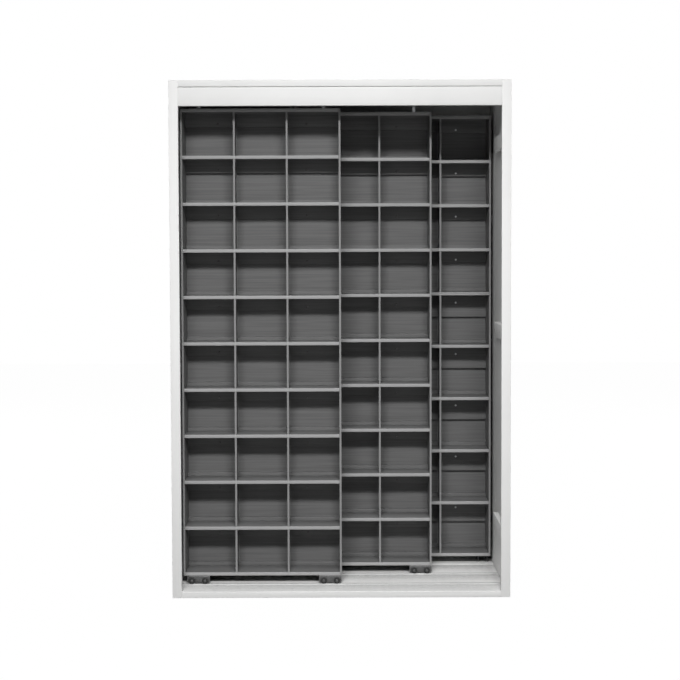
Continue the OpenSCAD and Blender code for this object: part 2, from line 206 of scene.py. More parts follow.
def along(x: float | None = None, y: float | None = None, z: float | None = None) -> PartTest:
    """Makes the test for the edges that lie in all the planes given.

    Args:
        x: The place in millimetres of a plane across X, or None.
        y: The same across Y.
        z: The same across Z.

    Returns:
        The test.
    """
    planes = [(axis, place) for axis, place in enumerate((x, y, z)) if place is not None]
    return lambda edge: all(
        near(vert.co[axis] / MM, place) for vert in edge.verts for axis, place in planes
    )


def is_bent(edge: bmesh.types.BMEdge) -> bool:
    """Tells whether an edge's two faces meet at an angle."""
    return len(edge.link_faces) == 2 and abs(edge.calc_face_angle(0.0)) > BENT


def bevel_folds(piece: Piece, radius: float, segments: int = 3) -> None:
    """Rounds a mesh's folds and corners, in edit mode, to a width in millimetres."""
    choose(piece, "EDGE", is_bent)
    bpy.ops.mesh.bevel(offset=radius * MM, segments=segments, affect="EDGES")


def outward() -> None:
    """Makes all the faces of the mesh in edit mode point the same, outward way."""
    bpy.ops.mesh.select_all(action="SELECT")
    bpy.ops.mesh.remove_doubles(threshold=1e-6)
    bpy.ops.mesh.normals_make_consistent(inside=False)


def round_board(name: str, low: Point, high: Point, radius: float, segments: int = 3) -> Piece:
    """Makes a board whose edges are eased all round.

    Args:
        name: The object's name.
        low: The lowest corner in millimetres.
        high: The highest corner.
        radius: The width of the eased edge.
        segments: How many facets the eased edge has.

    Returns:
        The board.
    """
    piece = cube(name, low, high)
    bpy.ops.object.mode_set(mode="EDIT")
    bevel_folds(piece, radius, segments)
    bpy.ops.object.mode_set(mode="OBJECT")
    return piece


def lathe(name: str, outline: Sequence[tuple[float, float]], centre: Point, steps: int) -> Piece:
    """Turns an outline about a line that runs front to back.

    Args:
        name: The object's name.
        outline: Pairs of depth and radius in millimetres, from end to end.
        centre: A point on the axis, in millimetres.
        steps: How many facets go round.

    Returns:
        The turned piece.
    """
    deselect()
    bpy.ops.mesh.primitive_plane_add(size=0.001, location=(0, 0, 0))
    piece = rename(name)
    bpy.ops.object.mode_set(mode="EDIT")
    bpy.ops.mesh.select_mode(type="VERT")
    bpy.ops.mesh.select_all(action="SELECT")
    bpy.ops.mesh.merge(type="CENTER")
    places = [Vector((centre[0], centre[1] + d, centre[2] + r)) * MM for d, r in outline]
    bpy.ops.transform.translate(value=places[0])
    for here, there in zip(places, places[1:]):
        bpy.ops.mesh.extrude_vertices_move(TRANSFORM_OT_translate={"value": tuple(there - here)})
    bpy.ops.mesh.select_all(action="SELECT")
    bpy.ops.mesh.spin(steps=steps, angle=math.tau, center=[v * MM for v in centre], axis=(0, 1, 0))
    outward()
    bpy.ops.object.mode_set(mode="OBJECT")
    smooth(piece)
    return piece


def smooth(piece: Piece) -> None:
    """Shades a piece smooth, apart from edges sharper than 35 degrees."""
    pick(piece)
    bpy.ops.object.shade_smooth_by_angle(angle=math.radians(35.0))


def join(name: str, parts: Sequence[Piece]) -> Piece:
    """Joins several objects into one.

    Args:
        name: The name of the result.
        parts: The objects.

    Returns:
        The joined object.
    """
    deselect()
    for part in parts:
        part.select_set(True)
    bpy.context.view_layer.objects.active = parts[0]
    if len(parts) > 1:
        bpy.ops.object.join()
    return rename(name)


def repeated(pattern: Piece, steps: Sequence[Point]) -> list[Piece]:
    """Copies a pattern, each copy with its own mesh, and deletes the pattern.

    Args:
        pattern: The modelled piece.
        steps: How far each copy moves, in millimetres.

    Returns:
        The copies.
    """
    made = []
    for step in steps:
        twin = pattern.copy()
        twin.data = pattern.data.copy()
        bpy.context.scene.collection.objects.link(twin)
        twin.data.transform(Matrix.Translation(Vector(step) * MM))
        made.append(twin)
    bpy.data.objects.remove(pattern, do_unlink=True)
    return made


def face_away(piece: Piece, step: Point) -> None:
    """Turns an open sheet's faces so that its largest face across a direction looks against it.

    Args:
        piece: The object in edit mode.
        step: The direction, of any length.
    """
    outward()
    way = Vector(step).normalized()
    mesh = bmesh.from_edit_mesh(piece.data)
    across = [face for face in mesh.faces if abs(face.normal.dot(way)) > 0.9]
    largest = max(across, key=lambda face: face.calc_area())
    if largest.normal.dot(way) > 0:
        bpy.ops.mesh.select_all(action="SELECT")
        bpy.ops.mesh.flip_normals()


def folded(name: str, low: Point, high: Point, folds: Sequence[Fold]) -> Piece:
    """Draws flanges out of a flat face's edges. The face looks away from the first flange.

    Args:
        name: The object's name.
        low: The flat face's lowest corner in millimetres.
        high: Its highest corner.
        folds: The test for each flange's edge, and how far the flange goes.

    Returns:
        The bent sheet, in edit mode and still without thickness.
    """
    piece = plate(name, low, high)
    bpy.ops.object.mode_set(mode="EDIT")
    for test, step in folds:
        choose(piece, "EDGE", test)
        move = tuple(v * MM for v in step)
        bpy.ops.mesh.extrude_edges_move(TRANSFORM_OT_translate={"value": move})
    face_away(piece, folds[0][1])
    return piece


def channel(name: str, low: Point, high: Point, axis: str, step: Point) -> Piece:
    """Draws a channel: a flat face with a flange at each of two opposite edges.

    Args:
        name: The object's name.
        low: The flat face's lowest corner in millimetres.
        high: Its highest corner.
        axis: The axis from one flange to the other: x, y or z.
        step: How far the flanges go.

    Returns:
        The bent sheet, as folded gives it.
    """
    edges = [along(**{axis: corner["xyz".index(axis)]}) for corner in (low, high)]
    return folded(name, low, high, [(edge, step) for edge in edges])


def close_folds(piece: Piece, bend: float, thickness: float) -> Piece:
    """Rounds a bent sheet's folds and thickens it, towards their inner side.

    Args:
        piece: The sheet in edit mode.
        bend: The folds' width in millimetres.
        thickness: The sheet's thickness.

    Returns:
        The piece, in object mode.
    """
    bevel_folds(piece, bend)
    bpy.ops.object.mode_set(mode="OBJECT")
    wall = piece.modifiers.new("sheet", "SOLIDIFY")
    wall.thickness = thickness * MM
    wall.offset = -1.0
    wall.use_even_offset = True
    bpy.ops.object.modifier_apply(modifier=wall.name)
    smooth(piece)
    return piece


# Finishes


def linear(code: str) -> tuple[float, float, float, float]:
    """Turns an sRGB hex value into a linear colour.

    Args:
        code: Six hex digits after a hash sign.

    Returns:
        Red, green, blue and an alpha of one.
    """
    parts = [int(code[i : i + 2], 16) / 255 for i in (1, 3, 5)]
    red, green, blue = [c / 12.92 if c <= 0.04045 else ((c + 0.055) / 1.055) ** 2.4 for c in parts]
    return red, green, blue, 1.0


def add_node(
    tree: Tree,
    kind: str,
    settings: dict[str, object] | None = None,
    inputs: dict[str | int, object] | None = None,
) -> bpy.types.Node:
    """Adds a shader node with its settings, values and links.

    Args:
        tree: The material's node tree.
        kind: The node's type name.
        settings: Attributes of the node.
        inputs: Socket names or numbers, each with a value or with the socket that feeds it.

    Returns:
        The node.
    """
    made = tree.nodes.new(kind)
    for key, value in (settings or {}).items():
        setattr(made, key, value)
    for key, value in (inputs or {}).items():
        if isinstance(value, Socket):
            tree.links.new(value, made.inputs[key])
        else:
            made.inputs[key].default_value = value
    return made


def emptied(owner: bpy.types.Material | bpy.types.World) -> Tree:
    """Gives the node tree of a new material or world, with nothing in it.

    Args:
        owner: The material or world.

    Returns:
        The tree.
    """
    owner.use_nodes = True
    owner.node_tree.nodes.clear()
    return owner.node_tree


@dataclass(frozen=True)
class Finish:
    """What all the object's finishes share: two tones, a sheen and a grain, in real sizes."""

    name: str
    slot: Slot
    tone: str
    shade: str
    roughness: float
    rough_spread: float
    cloud_mm: Point
    grain_mm: Point
    relief_mm: float
    metallic: float = 0.0
    specular: float = 0.5

    def build(self) -> bpy.types.Material:
        """Makes the material.

        Returns:
            The material, with its colour, roughness and relief from the piece's own place.
        """
        material = bpy.data.materials.new(self.name)
        tree = emptied(material)
        place = add_node(tree, "ShaderNodeTexCoord").outputs["Object"]
        cloud = self.pattern(tree, place, self.cloud_mm, 3.0)
        grain = self.pattern(tree, place, self.grain_mm, 2.0)
        least, most = self.roughness - self.rough_spread, self.roughness + self.rough_spread
        ends = {0: grain, 1: 0.3, 2: 0.7, 3: least, 4: most}
        rough = add_node(tree, "ShaderNodeMapRange", {"clamp": True}, ends)
        bump = {"Strength": 1.0, "Distance": self.relief_mm * MM, "Height": grain}
        relief = add_node(tree, "ShaderNodeBump", {}, bump)
        values = {
            "Base Color": self.colour(tree, place, cloud),
            "Roughness": rough.outputs[0],
            "Metallic": self.metallic,
            "Specular IOR Level": self.specular,
            "Normal": relief.outputs["Normal"],
        }
        shader = add_node(tree, "ShaderNodeBsdfPrincipled", {}, values)
        add_node(tree, "ShaderNodeOutputMaterial", {}, {"Surface": shader.outputs[0]})
        material.diffuse_color = linear(self.tone)
        return material

    def pattern(self, tree: Tree, place: Socket, size: Point, detail: float) -> Socket:
        """Adds a noise whose blots have a real size along each axis.

        Args:
            tree: The node tree.
            place: The coordinates.
            size: The blots' size in millimetres along X, Y and Z.
            detail: How many finer layers the noise has.

        Returns:
            The noise's value.
        """
        scale = [1.0 / (s * MM) for s in size]
        spread = add_node(tree, "ShaderNodeMapping", {}, {"Vector": place, "Scale": scale})
        values = {"Vector": spread.outputs[0], "Scale": 1.0, "Detail": detail}
        return add_node(tree, "ShaderNodeTexNoise", {}, values).outputs[0]

    def colour(self, tree: Tree, place: Socket, cloud: Socket) -> Socket:
        """Mixes the two tones by the clouds.

        Args:
            tree: The node tree.
            place: The coordinates.
            cloud: The coarse pattern.

        Returns:
            The colour.
        """
        ramp = add_node(tree, "ShaderNodeValToRGB", {}, {0: cloud})
        ends = zip(ramp.color_ramp.elements, (0.35, 0.65), (self.shade, self.tone))
        for end, position, tone in ends:
            end.position = position
            end.color = linear(tone)
        return ramp.outputs[0]


@dataclass(frozen=True)
class EnamelWithPaintedLight(Finish):
    """Enamel on steel with another tone painted past a plane: painted light, used for a painted
    highlight on the racks' front faces and painted shade on the track's ribs.
    """

    painted_tone: str = "#C8C8C8"
    painted_axis: int = 1
    painted_from_mm: float = 0.0
    painted_to_mm: float = 0.0

    def colour(self, tree: Tree, place: Socket, cloud: Socket) -> Socket:
        """Mixes the tones, and adds the part with painted light.

        Args:
            tree: The node tree.
            place: The coordinates.
            cloud: The coarse pattern.

        Returns:
            The colour.
        """
        plain = super().colour(tree, place, cloud)
        axes = add_node(tree, "ShaderNodeSeparateXYZ", {}, {0: place})
        start, end = self.painted_from_mm * MM, self.painted_to_mm * MM
        ends = {0: axes.outputs[self.painted_axis], 1: start, 2: end, 3: 0.0, 4: 1.0}
        # Mask of the painted light or shade: one past the plane, nought before it, with a ramp
        # between.
        painted_mask = add_node(tree, "ShaderNodeMapRange", {"clamp": True}, ends)
        tones = {0: painted_mask.outputs[0], 6: plain, 7: linear(self.painted_tone)}
        return add_node(tree, "ShaderNodeMix", {"data_type": "RGBA"}, tones).outputs[2]


# The finishes that this cabinet has

# Melamine-faced particle board with a fine pearl emboss, which reads as an even, soft white.
MELAMINE = Finish(
    name="white_melamine_board",
    slot=Slot.BOARD,
    tone="#EEEEED",
    shade="#EBEBEA",
    roughness=0.56,
    rough_spread=0.05,
    cloud_mm=(180.0, 180.0, 260.0),
    grain_mm=(2.2, 2.2, 2.2),
    relief_mm=0.02,
    specular=0.25,
)
# Stoved enamel on steel plate, with faint streaks along the track. The ribs are painted dark grey
# from just above the plates' upper face: painted shade that stands in for the dark groove lines
# along the track.
TRACK_ENAMEL = EnamelWithPaintedLight(
    name="light_grey_track_enamel",
    slot=Slot.TRACK,
    tone="#ECECEB",
    shade="#E3E3E2",
    roughness=0.3,
    rough_spread=0.06,
    cloud_mm=(420.0, 9.0, 9.0),
    grain_mm=(30.0, 1.6, 1.6),
    relief_mm=0.015,
    # Painted shade: the ribs are darkened to this grey.
    painted_tone="#6E6E6E",
    painted_axis=2,
    painted_from_mm=24.2,
    painted_to_mm=24.6,
)
# Bright zinc plate on pressed steel: metal, slightly clouded, with a soft grain.
ZINC = Finish(
    name="bright_zinc_plate",
    slot=Slot.ZINC,
    tone="#C6C7C8",
    shade="#AEB0B2",
    roughness=0.36,
    rough_spread=0.08,
    metallic=1.0,
    cloud_mm=(9.0, 9.0, 9.0),
    grain_mm=(1.4, 1.4, 1.4),
    relief_mm=0.01,
)
# Zinc plate darkened as painted shade for the trucks and axles, which sit in the deep shade under
# the rolling racks. The racks' screws share this dark tone.
SHADE_DARKENED_ZINC = Finish(
    name="zinc_darkened_as_painted_shade",
    slot=Slot.ZINC,
    tone="#656565",
    shade="#525252",
    roughness=0.45,
    rough_spread=0.08,
    metallic=1.0,
    cloud_mm=(4.0, 4.0, 4.0),
    grain_mm=(0.9, 0.9, 0.9),
    relief_mm=0.01,
)
# Moulded black nylon, dull, with the faint grain of a spark-eroded mould.
BLACK_NYLON = Finish(
    name="moulded_black_nylon",
    slot=Slot.BLACK_NYLON,
    tone="#242424",
    shade="#1B1B1B",
    roughness=0.55,
    rough_spread=0.07,
    cloud_mm=(7.0, 7.0, 7.0),
    grain_mm=(0.9, 0.9, 0.9),
    relief_mm=0.02,
)
# Moulded natural nylon, waxy and slightly warm.
PALE_NYLON = Finish(
    name="moulded_natural_nylon",
    slot=Slot.PALE_NYLON,
    tone="#DAD9D0",
    shade="#CFCEC4",
    roughness=0.42,
    rough_spread=0.06,
    cloud_mm=(14.0, 14.0, 14.0),
    grain_mm=(1.1, 1.1, 1.1),
    relief_mm=0.015,
)


def rack_enamels(plane: str, front_y: float) -> list[EnamelWithPaintedLight]:
    """Gives a rack's finishes: semi-gloss grey enamel over cold-rolled sheet.

    The sheet's rolling marks show through as faint level streaks. The front faces are painted a
    lighter grey, a painted highlight where they face the lamps, those of the pans more than those
    of the sides and dividers.

    Args:
        plane: The name of the rack's plane.
        front_y: The front plane in millimetres.

    Returns:
        The finish of the pans and the finish of the sides and dividers.
    """
    return [
        EnamelWithPaintedLight(
            name=f"{plane}_{kind}_grey_enamel",
            slot=Slot.RACK,
            tone="#717171",
            shade="#666666",
            roughness=0.42,
            rough_spread=0.07,
            cloud_mm=(260.0, 60.0, 5.0),
            grain_mm=(22.0, 4.0, 1.6),
            relief_mm=0.02,
            specular=0.2,
            # Painted highlight: the faces within the front plane are a lighter grey.
            painted_tone=painted_tone,
            painted_from_mm=front_y + 2.0,
            painted_to_mm=front_y + 1.4,
        )
        for kind, painted_tone in (("rack", "#A4A4A4"), ("upright", "#8E8E8E"))
    ]


class Dresser:
    """Makes each material once and puts it on pieces."""

    def __init__(self) -> None:
        """Starts with no materials."""
        self.made: dict[str, bpy.types.Material] = {}
        self.count = 0

    def dress(self, piece: Piece, finish: Finish, body: str, *nodes: str) -> None:
        """Finishes a piece: its material, its body and the nodes that it stands for.

        Args:
            piece: The object.
            finish: Its finish.
            body: The body that it rides on.
            nodes: The nodes that it replaces.
        """
        if finish.name not in self.made:
            self.made[finish.name] = finish.build()
        piece.data.materials.clear()
        piece.data.materials.append(self.made[finish.name])
        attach(piece, body)
        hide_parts(*nodes)
        self.count += 1
        LOG.info("%s: %d faces, rides on %s", piece.name, len(piece.data.polygons), body)


# The cabinet's case


@dataclass
class CabinetCase:
    """The boards, the floor plates, the guide channels and the battens, in millimetres."""

    dresser: Dresser
    width: float = 1312.0
    height: float = 2000.0
    depth: float = 547.0
    side: float = 16.0
    stile_w: float = 36.0
    stile_d: float = 20.0
    top: float = 25.0
    back: float = 18.0
    floor: float = 21.0
    header: float = 71.0
    header_d: float = 18.0
    joint: float = 2.0
    plate_t: float = 3.0
    plate_joint: float = 2.5
    plate_edge: float = 0.6
    nosing_lap: float = 0.5
    nosing_edge: float = 1.4
    edge: float = 1.2
    # Back from the front: the joints between the floor plates, and the rolling racks' front planes
    joint_depths: tuple[float, float, float] = (99.5, 243.5, 387.5)
    rack_depths: tuple[float, float] = (115.0, 259.0)
    rack_d: float = 126.0
    # The front wheels run on a rib, which lies ahead of the rack's front plane
    rib_ahead: float = 4.3
    rib_w: float = 3.0
    rib_h: float = 2.0
    rib_edge: float = 0.9
    channel_w: float = 24.0
    channel_h: float = 24.0
    channel_t: float = 2.0
    channel_bend: float = 2.6
    channel_screw: float = 14.0
    # The screws' places, as shares of the way from the middle to the side panels
    channel_screws: tuple[float, float, float] = (-0.9, 0.0, 0.9)
    batten_h: float = 56.0
    batten_past: float = 7.0
    batten_edge: float = 1.6
    batten_screw: float = 28.0
    batten_screw_in: float = 35.0
    batten_levels: tuple[float, float, float] = (222.0, 1000.0, 1740.0)
    front: float = field(init=False)
    inner: float = field(init=False)
    opening: float = field(init=False)

    def __post_init__(self) -> None:
        """Works out the planes that several boards share."""
        self.front = -self.depth / 2
        self.inner = self.width / 2 - self.side
        self.opening = self.width / 2 - self.stile_w

    def finish(self, piece: Piece, finish: Finish, node: str) -> None:
        """Smooths and dresses one piece of the case."""
        smooth(piece)
        self.dresser.dress(piece, finish, Body.CABINET.value, node)

    def placed(self, corner: Point) -> Point:
        """Gives a corner's place in the frame, when its depth counts from the cabinet's front."""
        return corner[0], self.front + corner[1], corner[2]

    def board(self, name: str, low: Point, high: Point, radius: float, segments: int = 3) -> Piece:
        """Makes a board with eased edges, with its corners' depths counted from the front."""
        return round_board(name, self.placed(low), self.placed(high), radius, segments)

    def notched(self, name: str, low: Point, high: Point, radius: float) -> Piece:
        """Makes a board that is narrower between the stiles than behind them.

        Args:
            name: The piece's name.
            low: The lowest corner, with the depth counted from the front.
            high: The highest corner.
            radius: The width of the eased edges.

        Returns:
            The board.
        """
        piece = cube(name, self.placed(low), self.placed(high))
        behind = (self.front + self.stile_d) * MM
        step = (self.inner - self.opening) * MM
        bpy.ops.object.mode_set(mode="EDIT")
        bpy.ops.mesh.select_all(action="SELECT")
        bpy.ops.mesh.bisect(plane_co=(0, behind, 0), plane_no=(0, 1, 0))
        for way in (-1.0, 1.0):
            choose(
                piece,
                "FACE",
                lambda face: face.normal.x * way > 0.9 and face.calc_center_median().y > behind,
            )
            move = (way * step, 0, 0)
            bpy.ops.mesh.extrude_region_move(TRANSFORM_OT_translate={"value": move})
        bevel_folds(piece, radius)
        bpy.ops.object.mode_set(mode="OBJECT")
        return piece

    def build_boards(self) -> None:
        """Makes the boards of the case."""
        w, h, d, inner, opening = self.width / 2, self.height, self.depth, self.inner, self.opening
        stile, inside, ceiling = self.stile_d, d - self.back, h - self.top
        header_top = ceiling - self.joint
        header_low = (-opening, 0, header_top - self.header)
        header_high = (opening, self.header_d, header_top)
        floor_low = (-opening, self.plate_t, 0)
        for name, node, low, high in (
            ("left_gable", "left_side_panel", (-w, stile, 0), (-inner, d, h)),
            ("right_gable", "right_side_panel", (inner, stile, 0), (w, d, h)),
            ("left_front_stile", "left_stile", (-w, 0, 0), (-opening, stile, h)),
            ("right_front_stile", "right_stile", (opening, 0, 0), (w, stile, h)),
            ("header_board", "header_fascia", header_low, header_high),
            ("rear_board", "back_panel", (-inner, inside, 0), (inner, d, h)),
        ):
            self.finish(self.board(name, low, high, self.edge), MELAMINE, node)
        for name, node, low, high in (
            ("top_board", "top_panel", (-opening, 0, ceiling), (opening, inside, h)),
            ("floor_board", "floor_panel", floor_low, (opening, inside, self.floor)),
        ):
            self.finish(self.notched(name, low, high, self.edge), MELAMINE, node)

    def build_floor_plates(self) -> None:
        """Makes the nosing, the two ribbed track plates and the rear plate."""
        top, gap, edge = self.floor + self.plate_t, self.plate_joint / 2, self.plate_edge
        inner, opening, depths = self.inner, self.opening, self.joint_depths
        high = (opening, self.plate_t, top)
        face = self.board("nosing_face", (-opening, 0, 0), high, self.nosing_edge, 4)
        low = (-opening, self.plate_t - self.nosing_lap, self.floor)
        tread = self.notched("nosing_tread", low, (opening, depths[0] - gap, top), edge)
        self.finish(join("floor_nosing", [face, tread]), TRACK_ENAMEL, "front_sill")
        ends = (depths[1] - gap, depths[2] - gap, self.depth - self.back)
        for number, (name, node) in enumerate((
            ("front_track_plate", "front_track"),
            ("middle_track_plate", "middle_track"),
            ("rear_floor_plate", "rear_plinth"),
        )):
            low = (-inner, depths[number] + gap, self.floor)
            parts = [self.board("plate", low, (inner, ends[number], top), edge, 2)]
            if number < len(self.rack_depths):
                rib, half = self.rack_depths[number] - self.rib_ahead, self.rib_w / 2
                low, high = (-inner, rib - half, top - edge), (inner, rib + half, top + self.rib_h)
                parts.append(self.board("rib", low, high, self.rib_edge))
            self.finish(join(name, parts), TRACK_ENAMEL, node)

    def build_channels(self) -> None:
        """Makes the two folded guide channels under the top board, and their screws."""
        ceiling, half, inner = self.height - self.top, self.channel_w / 2, self.inner
        under, places = ceiling - self.channel_t, []
        for depth, name in zip(self.rack_depths, ("front", "middle")):
            y = self.front + depth + GUIDE_LINE
            low, high = (-inner, y - half, ceiling), (inner, y + half, ceiling)
            piece = channel(f"{name}_channel", low, high, "y", (0, 0, -self.channel_h))
            close_folds(piece, self.channel_bend, self.channel_t)
            self.finish(piece, ZINC, f"{name}_guide_channel")
            places += [(share * inner, y, under) for share in self.channel_screws]
        pattern = screw("channel_screw", self.channel_screw)
        pattern.data.transform(Matrix.Rotation(math.radians(90), 4, "X"))
        self.finish(join("channel_fixings", repeated(pattern, places)), ZINC, "guide_screws")

    def build_battens(self) -> None:
        """Makes the three stop battens on the right wall and their countersunk screws."""
        start = self.front + self.stile_d
        length = self.rack_depths[0] + self.rack_d + self.batten_past - self.stile_d
        made = []
        for z in self.batten_levels:
            high = (self.inner, start + length, z + self.batten_h)
            made.append(round_board("batten", (self.opening, start, z), high, self.batten_edge))
        self.finish(join("wall_battens", made), MELAMINE, "stop_battens")
        head = [(0.9, 0.0), (0.9, 1.4), (0.0, 1.6), (0.0, 4.4), (0.3, 4.5), (2.4, 2.0)]
        outline = [*head, (self.batten_screw, 2.0), (self.batten_screw, 0.0)]
        pattern = lathe("batten_screw", outline, (0, 0, 0), 16)
        pattern.data.transform(Matrix.Rotation(math.radians(-90), 4, "Z"))
        places = [
            (self.opening, start + d, z + self.batten_h / 2)
            for z in self.batten_levels
            for d in (self.batten_screw_in, length - self.batten_screw_in)
        ]
        self.finish(join("batten_fixings", repeated(pattern, places)), ZINC, "batten_screws")


def screw(name: str, length: float) -> Piece:
    """Makes a pan-head screw with a socket.

    Args:
        name: The object's name.
        length: The shank's length in millimetres.

    Returns:
        The screw, head to the front, with the plane under its head at the origin.
    """
    socket = [(-1.1, 0.0), (-1.1, 1.4), (-2.2, 1.5)]
    head = [(-2.3, 2.2), (-1.9, 3.4), (-1.1, 4.3), (-0.3, 4.5), (0.0, 4.4)]
    return lathe(name, [*socket, *head, (0.0, 2.0), (length, 2.0), (length, 0.0)], (0, 0, 0), 12)


# The sheet-metal racks


@dataclass
class SheetWork:
    """The folded pieces of one rack, in millimetres."""

    left: float
    front: float
    width: float = 630.0
    # Back from the front plane: the rear sheet, and the rear rails with the shelves' rear edges
    body: float = 124.8
    shelf: float = 109.0
    edge: float = 8.0
    sheet: float = 1.2
    fold: float = 7.0
    lip: float = 13.0
    bend: float = 1.6
    columns: int = 3
    # How far a rail rises above the pan in front of it
    rise: float = 13.0
    screw_l: float = 11.8
    screw_x: float = 178.0
    screw_drop: float = 36.0
    rear: float = field(init=False)
    inner: tuple[float, float] = field(init=False)

    def __post_init__(self) -> None:
        """Works out the shelves' rear plane, and the faces between which they fit."""
        self.rear = self.front + self.shelf
        self.inner = (self.left + self.edge, self.left + self.width - self.edge)

    def close(self, piece: Piece) -> Piece:
        """Rounds and thickens one piece of the racks' sheet."""
        return close_folds(piece, self.bend, self.sheet)

    def tray(self, name: str, z: float, height: float) -> Piece:
        """Folds a shelf pan, open below, with its front lip turned back.

        Args:
            name: The object's name.
            z: The pan's underside.
            height: The pan's height.

        Returns:
            The pan.
        """
        left, right = self.inner
        front, rear, top = self.front, self.rear, z + height
        down = (0.0, 0.0, -height)
        folds = [
            (along(y=front, z=top), down),
            (along(y=rear, z=top), down),
            (along(y=front, z=z), (0.0, self.fold, 0.0)),
            (along(x=left, z=top), down),
            (along(x=right, z=top), down),
        ]
        return self.close(folded(name, (left, front, top), (right, rear, top), folds))

    def cover(self, z: float, height: float) -> Piece:
        """Folds a pan whose skin runs on over the sides and back to the rear sheet.

        Args:
            z: The pan's underside.
            height: The pan's height.

        Returns:
            The pan with its skin.
        """
        pan = self.tray("pan", z, height - self.sheet / 2)
        low = (self.left, self.front, z + height - self.sheet)
        high = (self.left + self.width, self.front + self.body, z + height)
        return join("cover", [pan, round_board("skin", low, high, 0.4, 2)])

    def shelves(self, levels: Sequence[float]) -> list[Piece]:
        """Makes the pans between one unit's base and its top, by their undersides' heights."""
        pattern = self.tray("shelf", levels[1], self.lip)
        return repeated(pattern, [(0, 0, level - levels[1]) for level in levels[1:-1]])

    def sides(self, low: float, high: float) -> list[Piece]:
        """Folds one unit's two sides, channels that are open to the rear.

        Args:
            low: The sides' lower ends.
            high: Their upper ends.

        Returns:
            The left and the right side.
        """
        y, back = self.front, (0.0, self.body, 0.0)
        return [
            self.close(channel("side", (x, y, low), (x + self.edge, y, high), "x", back))
            for x in (self.left, self.inner[1])
        ]

    def divider(self, low: float, high: float) -> Piece:
        """Makes one divider at the rack's left end: a web with a folded front edge.

        Args:
            low: The divider's lower end.
            high: Its upper end.

        Returns:
            The divider.
        """
        x, y, half, skin = self.left, self.front, self.edge / 2, self.sheet / 2
        back = (0.0, self.fold, 0.0)
        hem = self.close(channel("hem", (x - half, y, low), (x + half, y, high), "x", back))
        web = round_board("web", (x - skin, y + skin, low), (x + skin, self.rear, high), 0.2, 1)
        return join("divider", [hem, web])

    def dividers(self, levels: Sequence[float]) -> list[Piece]:
        """Makes all the dividers of one unit, each copied from one.

        Args:
            levels: The heights of the undersides of the unit's pans.

        Returns:
            The dividers.
        """
        pattern = self.divider(levels[0] + self.lip, levels[1])
        pitch = (self.width - self.edge) / self.columns
        steps = [
            (self.edge / 2 + c * pitch, 0.0, level - levels[0])
            for level in levels[:-1]
            for c in range(1, self.columns)
        ]
        return repeated(pattern, steps)

    def rail(self, low: float, high: float) -> Piece:
        """Folds a rear rail, a channel that stands off the rear sheet.

        Args:
            low: The rail's lower edge.
            high: Its upper edge.

        Returns:
            The rail.
        """
        (left, right), y = self.inner, self.rear
        back = (0.0, self.body - self.shelf, 0.0)
        return self.close(channel("rail", (left, y, low), (right, y, high), "z", back))

    def rails(
        self, levels: Sequence[float], drop: float, base: tuple[float, float], top: float
    ) -> list[Piece]:
        """Makes all the rear rails of one unit.

        Args:
            levels: The heights of the undersides of the unit's pans.
            drop: How far a rail reaches below its shelf.
            base: The lowest rail's lower edge, and the height of the pan in front of it.
            top: The highest rail's upper edge.

        Returns:
            The rails.
        """
        made = [self.rail(base[0], sum(base) + self.rise)]
        pattern = self.rail(levels[1] - drop, levels[1] + self.lip + self.rise)
        made += repeated(pattern, [(0, 0, level - levels[1]) for level in levels[1:-1]])
        made.append(self.rail(levels[-1] - drop, top))
        return made

    def back(self, low: float, high: float) -> Piece:
        """Makes the rear sheet between two heights."""
        y, right = self.front + self.body, self.left + self.width
        return round_board("sheet", (self.left, y, low), (right, y + self.sheet, high), 0.4, 2)

    def screw_places(self, levels: Sequence[float]) -> list[Point]:
        """Gives the places of one unit's rail screws.

        Args:
            levels: The heights of the undersides of the unit's pans.

        Returns:
            The middles of the planes under the screws' heads.
        """
        middle = self.left + self.width / 2
        return [
            (middle + way * self.screw_x, self.rear, level - self.screw_drop)
            for level in levels[1:]
            for way in (-1, 1)
        ]


